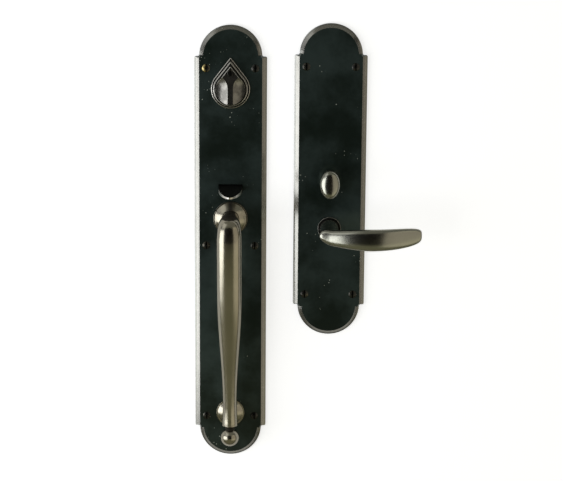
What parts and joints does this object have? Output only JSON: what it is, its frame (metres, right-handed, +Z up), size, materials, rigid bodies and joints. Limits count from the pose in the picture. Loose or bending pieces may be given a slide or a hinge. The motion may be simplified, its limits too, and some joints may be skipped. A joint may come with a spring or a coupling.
{
  "type": "entry door handleset",
  "caption": "Entry door handleset with two arched plates: a pull grip with thumb latch and covered key cylinder outside, a lever and oval turn inside.",
  "frame": {"origin": "centre of the outside plate, on the plane of its back", "axes": "+Z up, +X to the right as the outside trim is seen, -Y out of the door; the inside trim lies beside it in the same plane, as the set is shown"},
  "size_m": [0.2389, 0.1027, 0.4723],
  "materials": {
    "dark_bronze": "dark oxidised bronze, satin",
    "rubbed_bronze": "oxidised bronze, rubbed and polished",
    "brass_screws": "dulled brass",
    "lock_brass": "plain machined brass",
    "zinc_steel": "zinc plated"
  },
  "bodies": {
    "trims": {"outside_plate": "dark_bronze", "outside_screws": "brass_screws", "cylinder_collar": "dark_bronze", "cover_pivot_screw": "brass_screws", "cover_spring_washer": "zinc_steel", "cylinder_shell": "lock_brass", "thumb_pivot_pin": "zinc_steel", "thumb_bracket": "zinc_steel", "bracket_screws": "zinc_steel", "thumb_spring": "zinc_steel", "upper_rose": "rubbed_bronze", "lower_rose": "rubbed_bronze", "grip_handle": "rubbed_bronze", "grip_bolts": "zinc_steel", "inside_plate": "dark_bronze", "inside_screws": "brass_screws", "lever_bushing": "rubbed_bronze", "lever_spring": "zinc_steel", "turn_bushing": "rubbed_bronze", "turn_washer": "zinc_steel"},
    "swing_cover": {"swing_cover": "rubbed_bronze"},
    "cylinder_plug": {"cylinder_plug": "lock_brass", "cylinder_cam": "zinc_steel", "cam_screws": "zinc_steel"},
    "thumb_piece": {"thumb_piece": "dark_bronze"},
    "lever": {"lever": "rubbed_bronze", "lever_spindle": "zinc_steel", "lever_set_screw": "zinc_steel", "lever_drive_washer": "zinc_steel", "lever_snap_ring": "zinc_steel"},
    "turn_knob": {"turn_knob": "rubbed_bronze", "turn_snap_ring": "zinc_steel", "turn_tailpiece": "zinc_steel", "tailpiece_pin": "zinc_steel"}
  },
  "joints": [
    {"name": "cover_swing", "type": "hinge", "parent": "trims", "child": "swing_cover", "pos_m": [0, -0.014, 0.1865], "axis": [0, 1, 0], "continuous": true},
    {"name": "plug_turn", "type": "hinge", "parent": "trims", "child": "cylinder_plug", "pos_m": [0, 0, 0.1631], "axis": [0, 1, 0], "continuous": true},
    {"name": "thumb_press", "type": "hinge", "parent": "trims", "child": "thumb_piece", "pos_m": [0, 0.005, 0.0645], "axis": [1, 0, 0], "range_deg": [0, 14], "stiffness_Nm_per_rad": 0.15, "springref_deg": -22.92, "deforming": ["thumb_spring"]},
    {"name": "lever_turn", "type": "hinge", "parent": "trims", "child": "lever", "pos_m": [0.105, 0, 0.0196], "axis": [0, 1, 0], "range_deg": [0, 50], "stiffness_Nm_per_rad": 1, "springref_deg": -28.65, "deforming": ["lever_spring"]},
    {"name": "knob_turn", "type": "hinge", "parent": "trims", "child": "turn_knob", "pos_m": [0.105, 0, 0.0698], "axis": [0, 1, 0], "range_deg": [0, 90]}
  ]
}
